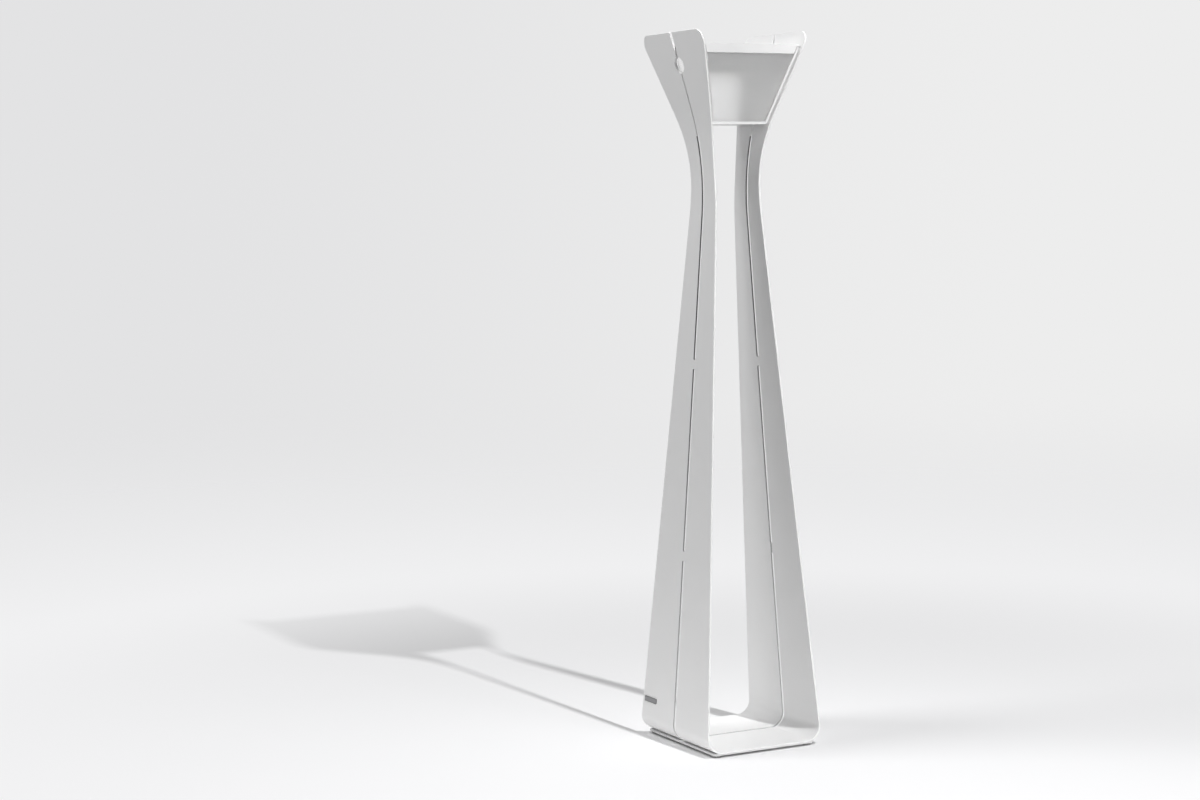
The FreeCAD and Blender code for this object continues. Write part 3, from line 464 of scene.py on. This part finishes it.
def silicon_cell(colour):
    """Silicon under blue nitride, cast in resin: near black, ruled with silver fingers and busbars."""
    material, tree, surface = new_material("monocrystalline_silicon_cell", {
        "IOR": 1.28, "Roughness": 0.35,
    })
    place = object_place(tree)
    split = add_node(tree, "ShaderNodeSeparateXYZ", inputs={"Vector": place})
    # Axis, spacing and width. Fingers are 0.05 mm wide; they are drawn 0.25 mm wide so that they show.
    fingers = ("X", 2.0 * MM, 0.25 * MM)
    busbars = ("Y", 15.0 * MM, 0.9 * MM)
    lines = []
    for axis, pitch, width in (fingers, busbars):
        wrapped = add_node(tree, "ShaderNodeMath", {"operation": "PINGPONG"}, {
            0: split.outputs[axis], 1: pitch / 2,
        })
        lines.append(add_node(tree, "ShaderNodeMath", {"operation": "LESS_THAN"}, {
            0: wrapped.outputs["Value"], 1: width / 2,
        }))
    silver = add_node(tree, "ShaderNodeMath", {"operation": "MAXIMUM"}, {
        0: lines[0].outputs["Value"], 1: lines[1].outputs["Value"],
    })
    noise = add_node(tree, "ShaderNodeTexNoise", inputs={
        "Vector": place, "Scale": per_metre(25), "Detail": 4.0,
    })
    nitride = add_node(tree, "ShaderNodeMix", COLOUR_MIX, {
        MIX_SHARE: noise.outputs["Fac"], MIX_FIRST: shade(colour, 0.7), MIX_SECOND: shade(colour, 1.6),
    })
    tone = add_node(tree, "ShaderNodeMix", COLOUR_MIX, {
        MIX_SHARE: silver.outputs["Value"],
        MIX_FIRST: nitride.outputs[MIX_RESULT],
        MIX_SECOND: linear("#B9BBBD"),
    })
    tree.links.new(tone.outputs[MIX_RESULT], surface.inputs["Base Color"])
    tree.links.new(silver.outputs["Value"], surface.inputs["Metallic"])
    return material


def circuit_board():
    """Glass-epoxy board under green solder mask: copper tracks raise and lighten the lacquer."""
    material, tree, surface = new_material("solder_masked_circuit_board", {
        "IOR": 1.55, "Roughness": 0.35,
    })
    place = object_place(tree)
    layout = {"offset": 0.37, "squash": 0.7, "squash_frequency": 3}
    tracks = add_node(tree, "ShaderNodeTexBrick", layout, {
        "Vector": place,
        "Scale": 1.0,
        "Mortar Size": 0.5 * MM,
        "Brick Width": 11 * MM,
        "Row Height": 3.2 * MM,
        "Color1": linear("#1F5B38"),
        "Color2": linear("#236440"),
        "Mortar": linear("#3F8A57"),
    })
    bump = add_node(tree, "ShaderNodeBump", inputs={
        "Height": tracks.outputs["Fac"], "Distance": 0.05 * MM, "Strength": 0.5,
    })
    tree.links.new(tracks.outputs["Color"], surface.inputs["Base Color"])
    tree.links.new(bump.outputs["Normal"], surface.inputs["Normal"])
    return material


def seen_directly(tree):
    """1 for rays of the eye and for what gloss and glass show it, 0 for light that falls on things."""
    path = add_node(tree, "ShaderNodeLightPath")
    seen = path.outputs["Is Camera Ray"]
    for ray in ("Is Glossy Ray", "Is Transmission Ray"):
        both = add_node(tree, "ShaderNodeMath", {"operation": "MAXIMUM"}, {0: seen, 1: path.outputs[ray]})
        seen = both.outputs["Value"]
    return seen


def studio_floor(colour, lift, radius):
    """Matt emulsion on a studio floor: faintly mottled, and it fades out towards its rim."""
    material, tree, surface = new_material("matt_painted_floor", {"Specular IOR Level": 0.1})
    place = object_place(tree)
    tones = shade(colour, 0.99), shade(colour, 1.0)
    paint = vary(tree, surface, place, lumps=400, tones=tones, rough=(0.88, 0.95))
    reach = add_node(tree, "ShaderNodeVectorMath", {"operation": "LENGTH"}, {0: place})
    seen = seen_directly(tree)
    # The eye sees the paint. What the floor throws back is lighter near the lamp and darker far out.
    dims_from, dims_to = (share * radius for share in BOUNCE_DIMS)
    near = add_node(tree, "ShaderNodeMapRange", {"interpolation_type": "SMOOTHSTEP"}, {
        "Value": reach.outputs["Value"], "From Min": dims_from, "From Max": dims_to,
        "To Min": 1.0, "To Max": 0.0,
    })
    bounce = add_node(tree, "ShaderNodeMix", COLOUR_MIX, {
        MIX_SHARE: near.outputs["Result"],
        MIX_FIRST: shade(colour, FAR_BOUNCE),
        MIX_SECOND: shade(colour, NEAR_BOUNCE),
    })
    tone = add_node(tree, "ShaderNodeMix", COLOUR_MIX, {
        MIX_SHARE: seen, MIX_FIRST: bounce.outputs[MIX_RESULT], MIX_SECOND: paint,
    })
    tree.links.new(tone.outputs[MIX_RESULT], surface.inputs["Base Color"])
    # Away from the lamp the eye sees more and more plain white in place of the lit paint.
    white = add_node(tree, "ShaderNodeEmission", inputs={"Color": linear("#FBFBFC"), "Strength": 1.0})
    grows_from, grows_to = (share * radius for share in WHITE_GROWS)
    away = add_node(tree, "ShaderNodeMapRange", {"interpolation_type": "SMOOTHSTEP"}, {
        "Value": reach.outputs["Value"], "From Min": grows_from, "From Max": grows_to, "To Max": lift,
    })
    lifted = add_node(tree, "ShaderNodeMath", {"operation": "MULTIPLY"}, {
        0: seen, 1: away.outputs["Result"],
    })
    paler = add_node(tree, "ShaderNodeMixShader", inputs={
        0: lifted.outputs["Value"], 1: surface.outputs["BSDF"], 2: white.outputs["Emission"],
    })
    fades_from, fades_to = (share * radius for share in RIM_FADES)
    fade = add_node(tree, "ShaderNodeMapRange", {"interpolation_type": "SMOOTHERSTEP"}, {
        "Value": reach.outputs["Value"], "From Min": fades_from, "From Max": fades_to,
    })
    clear = add_node(tree, "ShaderNodeBsdfTransparent")
    both = add_node(tree, "ShaderNodeMixShader", inputs={
        0: fade.outputs["Result"], 1: paler.outputs["Shader"], 2: clear.outputs["BSDF"],
    })
    tree.links.new(both.outputs["Shader"], tree.nodes["Material Output"].inputs["Surface"])
    return material


def studio_air(soft_from, soft_near, soft_far, left, right):
    """Soft light, stronger from one side; the eye, gloss and glass see the pale background instead."""
    world = bpy.data.worlds.new("studio_air")
    world.use_nodes = True
    tree = world.node_tree
    light = tree.nodes["Background"]
    light.inputs["Color"].default_value = linear("#FFFFFF")
    direction = add_node(tree, "ShaderNodeTexCoord").outputs["Generated"]
    facing = add_node(tree, "ShaderNodeVectorMath", {"operation": "DOT_PRODUCT"}, {
        0: direction, 1: Vector(soft_from).normalized(),
    })
    strength = add_node(tree, "ShaderNodeMapRange", inputs={
        "Value": facing.outputs["Value"], "From Min": -1.0, "From Max": 1.0,
        "To Min": soft_far, "To Max": soft_near,
    })
    tree.links.new(strength.outputs["Result"], light.inputs["Strength"])
    aside = add_node(tree, "ShaderNodeVectorMath", {"operation": "DOT_PRODUCT"}, {
        0: direction, 1: ACROSS,
    })
    across = add_node(tree, "ShaderNodeMapRange", {"interpolation_type": "SMOOTHSTEP"}, {
        "Value": aside.outputs["Value"], "From Min": -BACKDROP_BLEND, "From Max": BACKDROP_BLEND,
    })
    tone = add_node(tree, "ShaderNodeMix", COLOUR_MIX, {
        MIX_SHARE: across.outputs["Result"], MIX_FIRST: left, MIX_SECOND: right,
    })
    paper = add_node(tree, "ShaderNodeBackground", inputs={
        "Color": tone.outputs[MIX_RESULT], "Strength": 1.0,
    })
    both = add_node(tree, "ShaderNodeMixShader", inputs={
        0: seen_directly(tree), 1: light.outputs["Background"], 2: paper.outputs["Background"],
    })
    tree.links.new(both.outputs["Shader"], tree.nodes["World Output"].inputs["Surface"])
    return world


# Modelling


def pick_only(piece):
    """Make one object the only selected and active one."""
    bpy.ops.object.select_all(action="DESELECT")
    piece.select_set(True)
    bpy.context.view_layer.objects.active = piece


def apply_modifier(piece, kind, **settings):
    """Add a modifier, set it up and apply it."""
    modifier = piece.modifiers.new(kind.lower(), kind)
    for name, value in settings.items():
        setattr(modifier, name, value)
    bpy.ops.object.modifier_apply(modifier=modifier.name)


def break_edges(piece, radius, segments=2):
    """Round the edges of a piece and shade it smoothly between them."""
    pick_only(piece)
    apply_modifier(
        piece, "BEVEL", width=radius, segments=segments, limit_method="ANGLE", angle_limit=EDGE_ANGLE,
        use_clamp_overlap=True,
    )
    bpy.ops.object.shade_smooth_by_angle(angle=SMOOTH_ANGLE)
    apply_modifier(piece, "WEIGHTED_NORMAL", keep_sharp=True)


def dress(piece, material):
    """Give a piece one material all over."""
    piece.data.materials.clear()
    piece.data.materials.append(material)


def hand_over(piece, body, slot, *nodes):
    """Fix a finished piece to its body and hide the nodes that it stands for. The slot is not used."""
    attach(piece, body)
    if nodes:
        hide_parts(*nodes)


def copy_node(node, name):
    """A copy of a node's mesh, merged and with whole flat faces, and the body that it rides."""
    pick_only(NODES[node])
    bpy.ops.object.duplicate()
    piece = bpy.context.object
    bpy.ops.object.parent_clear(type="CLEAR_KEEP_TRANSFORM")
    body = piece["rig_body"]
    del piece["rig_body"], piece["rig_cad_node"]
    piece.name = piece.data.name = name
    bpy.ops.object.mode_set(mode="EDIT")
    bpy.ops.mesh.select_all(action="SELECT")
    bpy.ops.mesh.remove_doubles(threshold=MERGE_DISTANCE)
    bpy.ops.mesh.customdata_custom_splitnormals_clear()
    bpy.ops.mesh.dissolve_limited(angle_limit=FLAT_ANGLE)
    bpy.ops.object.mode_set(mode="OBJECT")
    return piece, body


def soften(node, name, radius, slot, material, segments=2):
    """A copy of a node with broken edges that stands for it."""
    piece, body = copy_node(node, name)
    break_edges(piece, radius, segments)
    dress(piece, material)
    hand_over(piece, body, slot, node)
    return piece


def socket_screws(node, name, outward, width, radius):
    """The four screws of a node, with a hexagon socket sunk into each head.

    Outward points out of the heads on the right, and those on the left mirror it.
    """
    piece, body = copy_node(node, name)
    for side in (1, -1):
        axis = Vector((outward.x * side, outward.y, outward.z))
        for end in (1, -1):
            screw = [v.co.copy() for v in piece.data.vertices if v.co.x * side > 0 and v.co.y * end > 0]
            face = max(point.dot(axis) for point in screw)
            head = [point for point in screw if point.dot(axis) > face - MERGE_DISTANCE]
            bpy.ops.mesh.primitive_cylinder_add(
                vertices=6, radius=width / sqrt(3), depth=width * KEY_LENGTH,
                location=sum(head, Vector()) / len(head), rotation=axis.to_track_quat("Z", "Y").to_euler(),
            )
            key = bpy.context.object
            pick_only(piece)
            apply_modifier(piece, "BOOLEAN", operation="DIFFERENCE", solver="EXACT", object=key)
            bpy.data.objects.remove(key)
    break_edges(piece, radius)
    dress(piece, zinc_plated_steel())
    hand_over(piece, body, "screw_steel", node)


def finish_node(node, material):
    """Give a node that stays as it is its finish."""
    for place in NODES[node].material_slots:
        place.material = material


def softbox(name, place, side, power):
    """A square soft light that looks at the middle of the lamp."""
    turn = (LIGHT_AIM - place).to_track_quat("-Z", "Y").to_euler()
    bpy.ops.object.light_add(type="AREA", location=place, rotation=turn)
    box = bpy.context.object
    box.name = name
    box.visible_camera = False
    box.data.shape = "SQUARE"
    box.data.size = side
    box.data.energy = power
    return box


def fade_slowly(light, reach):
    """Let a light fade with distance, not with its square, and keep its level at a distance of reach."""
    light.use_nodes = True
    tree = light.node_tree
    even = add_node(tree, "ShaderNodeLightFalloff", inputs={"Strength": 1 / reach})
    tree.links.new(even.outputs["Linear"], tree.nodes["Emission"].inputs["Strength"])


class DressStand(bpy.types.Operator):
    """Bent strip with its powder coat, and painted shade on the walls of its slit"""

    bl_idname = "lamp.dress_stand"
    bl_label = "Stand"

    def execute(self, context):
        sizes, colours = context.scene.lamp_sizes, context.scene.lamp_colours
        coat = powder_coated_steel("powder_coated_stand", opaque(colours.coat))
        strip = soften("frame_strip", "stand_strip", sizes.sheet_edge, "stand_coat", coat)
        slit_shade_slot = len(strip.data.materials)
        strip.data.materials.append(paint_slit_shade(opaque(colours.coat)))
        # The slit's walls below the step get the painted shade.
        inside = SLIT_HALF_WIDTH + MERGE_DISTANCE
        for face in strip.data.polygons:
            corners = [strip.data.vertices[place].co for place in face.vertices]
            if all(abs(corner.y) < inside and corner.z < SLIT_STEP_HEIGHT for corner in corners):
                face.material_index = slit_shade_slot
        return {"FINISHED"}


class DressBase(bpy.types.Operator):
    """Ballast plate, its screws and the feet"""

    bl_idname = "lamp.dress_base"
    bl_label = "Base"

    def execute(self, context):
        sizes, colours = context.scene.lamp_sizes, context.scene.lamp_colours
        coat = powder_coated_steel("powder_coated_plate", opaque(colours.coat))
        rubber = moulded_rubber("moulded_foot_rubber", opaque(colours.rubber))
        soften("ballast_plate", "base_plate", sizes.panel_edge, "plate_coat", coat)
        soften("feet", "rubber_feet", sizes.panel_edge, "foot_rubber", rubber)
        down = Vector((0, 0, -1))
        socket_screws("ballast_screws", "socket_plate_screws", down, sizes.socket_width, sizes.small_edge)
        return {"FINISHED"}


class MakeNamePlate(bpy.types.Operator):
    """Bare name plate low on the outside of the left leg"""

    bl_idname = "lamp.make_name_plate"
    bl_label = "Name plate"

    def execute(self, context):
        sizes, colours = context.scene.lamp_sizes, context.scene.lamp_colours
        leg_middle = NECK_HALF_WIDTH + tan(LEG_LEAN) * (NECK_HEIGHT - PLATE_Z)
        leg_face = leg_middle + SHEET_THICKNESS / 2 / cos(LEG_LEAN)
        outward = Vector((-cos(LEG_LEAN), 0, sin(LEG_LEAN)))
        middle = Vector((-leg_face, PLATE_Y, PLATE_Z)) + outward * sizes.plate_thickness / 2
        bpy.ops.object.select_all(action="DESELECT")
        bpy.ops.mesh.primitive_cube_add(
            size=1, location=middle, rotation=(0, LEG_LEAN, 0),
            scale=(sizes.plate_thickness, sizes.plate_length, sizes.plate_height),
        )
        piece = context.object
        piece.name = piece.data.name = "name_plate"
        bpy.ops.object.transform_apply(location=True, rotation=True, scale=True)
        bpy.ops.object.mode_set(mode="EDIT")
        bpy.ops.mesh.select_all(action="DESELECT")
        bpy.ops.object.mode_set(mode="OBJECT")
        for edge in piece.data.edges:
            start, end = (piece.data.vertices[v].co for v in edge.vertices)
            edge.select = abs((end - start).normalized().dot(outward)) > SAME_WAY
        bpy.ops.object.mode_set(mode="EDIT")
        bpy.ops.mesh.select_mode(type="EDGE")
        bpy.ops.mesh.bevel(offset=PLATE_CORNER, segments=PLATE_CORNER_SEGMENTS)
        bpy.ops.mesh.select_mode(type="FACE")
        bpy.ops.object.mode_set(mode="OBJECT")
        for face in piece.data.polygons:
            face.select = face.normal.dot(outward) > SAME_WAY
        bpy.ops.object.mode_set(mode="EDIT")
        bpy.ops.mesh.inset(thickness=PLATE_MARGIN)
        bpy.ops.mesh.inset(thickness=GROOVE_OUTER_WALL, depth=-GROOVE_DEPTH)
        bpy.ops.mesh.inset(thickness=GROOVE_INNER_WALL, depth=GROOVE_DEPTH)
        bpy.ops.object.mode_set(mode="OBJECT")
        break_edges(piece, PLATE_EDGE)
        dress(piece, brushed_aluminium("anodised_name_plate", opaque(colours.plate), rough=0.4))
        hand_over(piece, "frame", "plate_coat")
        return {"FINISHED"}


class DressLantern(bpy.types.Operator):
    """Cradle, diffusers and their stops"""

    bl_idname = "lamp.dress_lantern"
    bl_label = "Lantern"

    def execute(self, context):
        sizes, colours = context.scene.lamp_sizes, context.scene.lamp_colours
        # The cradle's whiter coat is partly painted light on its front edges.
        coat = powder_coated_steel("powder_coated_cradle", opaque(colours.cradle))
        acrylic = frosted_acrylic(opaque(colours.acrylic))
        soften("cradle", "lantern_cradle", sizes.panel_edge, "lantern_coat", coat)
        for end in ("front", "rear"):
            soften(f"{end}_diffuser", f"{end}_panel", sizes.panel_edge, "frosted_panel", acrylic)
        stops = moulded_plastic("moulded_stop_bar", linear("#E6E6E3"), rough=0.5)
        soften("diffuser_stops", "panel_stops", sizes.small_edge, "stop_bar", stops)
        return {"FINISHED"}


class DressLid(bpy.types.Operator):
    """Lid with its solar panel"""

    bl_idname = "lamp.dress_lid"
    bl_label = "Solar lid"

    def execute(self, context):
        sizes, colours = context.scene.lamp_sizes, context.scene.lamp_colours
        shell = moulded_plastic("moulded_lid_shell", opaque(colours.lid), rough=0.18)
        soften("lid_frame", "lid_shell", sizes.lid_edge, "lid_shell", shell, segments=3)
        outward = Vector((cos(WING_FLARE), 0, -sin(WING_FLARE)))
        socket_screws("lid_screws", "socket_lid_screws", outward, sizes.socket_width, sizes.small_edge)
        soften("solar_glass", "panel_glass", sizes.small_edge, "solar_glass", patterned_glass())
        finish_node("solar_cells", silicon_cell(opaque(colours.cell)))
        back_sheet = moulded_plastic("laminated_back_sheet", linear("#E4E6E6"), rough=0.6)
        finish_node("solar_backsheet", back_sheet)
        return {"FINISHED"}


class DressElectrics(bpy.types.Operator):
    """Gear box with the light board, battery and electronics"""

    bl_idname = "lamp.dress_electrics"
    bl_label = "Electrics"

    def execute(self, context):
        # The gear box's grey is partly painted shade: seen through the frosted front, it darkens the
        # lantern's top in place of the shade under the lid.
        box = moulded_plastic("moulded_gear_box", linear("#8E8F8E"), rough=0.5)
        board = circuit_board()
        dark = moulded_plastic("moulded_component_epoxy", linear("#232426"), rough=0.5)
        finishes = {
            "gear_box": box,
            "button_housing": box,
            "gear_box_screws": zinc_plated_steel(),
            "led_board": brushed_aluminium("anodised_light_board", linear("#D8D9D6"), rough=0.45),
            "leds": moulded_plastic("cast_phosphor_silicone", linear("#E8D38A"), rough=0.35),
            "battery_holder": moulded_plastic("moulded_battery_holder", linear("#2B2B2D"), rough=0.55),
            "battery_cells": moulded_plastic("shrunk_cell_wrap", linear("#2F6E8F"), rough=0.3),
            "control_board": board,
            "switch_board": board,
            "board_parts": dark,
            "switch_body": dark,
            "switch_lead": moulded_rubber("extruded_lead_jacket", linear("#3A3A3C")),
        }
        for node, material in finishes.items():
            finish_node(node, material)
        return {"FINISHED"}


class DressButton(bpy.types.Operator):
    """Push button behind the left finger hole"""

    bl_idname = "lamp.dress_button"
    bl_label = "Push button"

    def execute(self, context):
        sizes, colours = context.scene.lamp_sizes, context.scene.lamp_colours
        low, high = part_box("button_cap")
        steel = turned_stainless(opaque(colours.button), (low + high) / 2, (0, pi / 2 - WING_FLARE, 0))
        soften("button_cap", "button_cap_turned", sizes.small_edge, "button_steel", steel)
        finish_node("button_gasket", moulded_rubber("moulded_gasket_rubber", linear("#2E2E30")))
        return {"FINISHED"}


class SetStage(bpy.types.Operator):
    """Floor, light and camera"""

    bl_idname = "lamp.set_stage"
    bl_label = "Studio"

    def execute(self, context):
        scene = context.scene
        stage = scene.lamp_stage
        bpy.ops.object.select_all(action="DESELECT")
        bpy.ops.mesh.primitive_circle_add(
            vertices=FLOOR_CORNERS, radius=stage.floor_radius, fill_type="NGON",
        )
        floor = context.object
        floor.name = floor.data.name = "studio_floor"
        dress(floor, studio_floor(opaque(stage.floor_colour), stage.floor_lift, stage.floor_radius))

        key = softbox("key_softbox", KEY_PLACE, stage.key_size, stage.key_power)
        fade_slowly(key.data, (LIGHT_AIM - KEY_PLACE).length)
        fill = softbox("fill_softbox", FILL_PLACE, stage.softbox_size, stage.fill_power)
        # The panel's glass would mirror this softbox as a white glare.
        fill.visible_glossy = False
        softbox("front_softbox", FRONT_PLACE, stage.softbox_size, stage.front_power)
        # The camera sees this one mirrored in the front band of the lid.
        softbox("glint_softbox", GLINT_PLACE, stage.glint_size, stage.glint_power)
        # This one stands behind the lantern as the camera looks, so that the diffusers glow.
        softbox("back_softbox", BACK_PLACE, stage.softbox_size, stage.back_power)

        turn = (
            Matrix.Rotation(-stage.yaw, 3, "Z")
            @ Matrix.Rotation(pi / 2 - stage.pitch, 3, "X")
            @ Matrix.Rotation(-stage.roll, 3, "Z")
        )
        bpy.ops.object.camera_add(location=CAMERA_PLACE, rotation=turn.to_euler())
        camera = context.object
        camera.name = "photo_camera"
        camera.data.lens = stage.lens
        camera.data.sensor_width = SENSOR_WIDTH
        scene.camera = camera
        scene.world = studio_air(
            stage.soft_from, stage.soft_near, stage.soft_far,
            opaque(stage.background_left), opaque(stage.background),
        )
        scene.view_settings.view_transform = "Standard"
        return {"FINISHED"}


class LampPanel(bpy.types.Panel):
    """The lamp's pieces and their settings"""

    bl_idname = "VIEW3D_PT_lamp"
    bl_label = "Solar Floor Lamp"
    bl_space_type = "VIEW_3D"
    bl_region_type = "UI"
    bl_category = "Lamp"

    def draw(self, context):
        for operator in OPERATORS:
            self.layout.operator(operator.bl_idname)
        for group in SETTINGS:
            values = getattr(context.scene, group)
            column = self.layout.column(align=True)
            for name in values.__annotations__:
                column.prop(values, name)


OPERATORS = (
    DressStand, DressBase, MakeNamePlate, DressLantern, DressLid, DressElectrics, DressButton, SetStage,
)
SETTINGS = {"lamp_sizes": LampSizes, "lamp_colours": LampColours, "lamp_stage": LampStage}


def register():
    for group in SETTINGS.values():
        bpy.utils.register_class(group)
    for name, group in SETTINGS.items():
        setattr(bpy.types.Scene, name, bpy.props.PointerProperty(type=group))
    for operator in OPERATORS:
        bpy.utils.register_class(operator)
    bpy.utils.register_class(LampPanel)


def unregister():
    bpy.utils.unregister_class(LampPanel)
    for operator in reversed(OPERATORS):
        bpy.utils.unregister_class(operator)
    for name in SETTINGS:
        delattr(bpy.types.Scene, name)
    for group in reversed(SETTINGS.values()):
        bpy.utils.unregister_class(group)


def main():
    """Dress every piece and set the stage."""
    register()
    for operator in OPERATORS:
        group, name = operator.bl_idname.split(".")
        getattr(getattr(bpy.ops, group), name)()


if __name__ == "__main__":
    main()
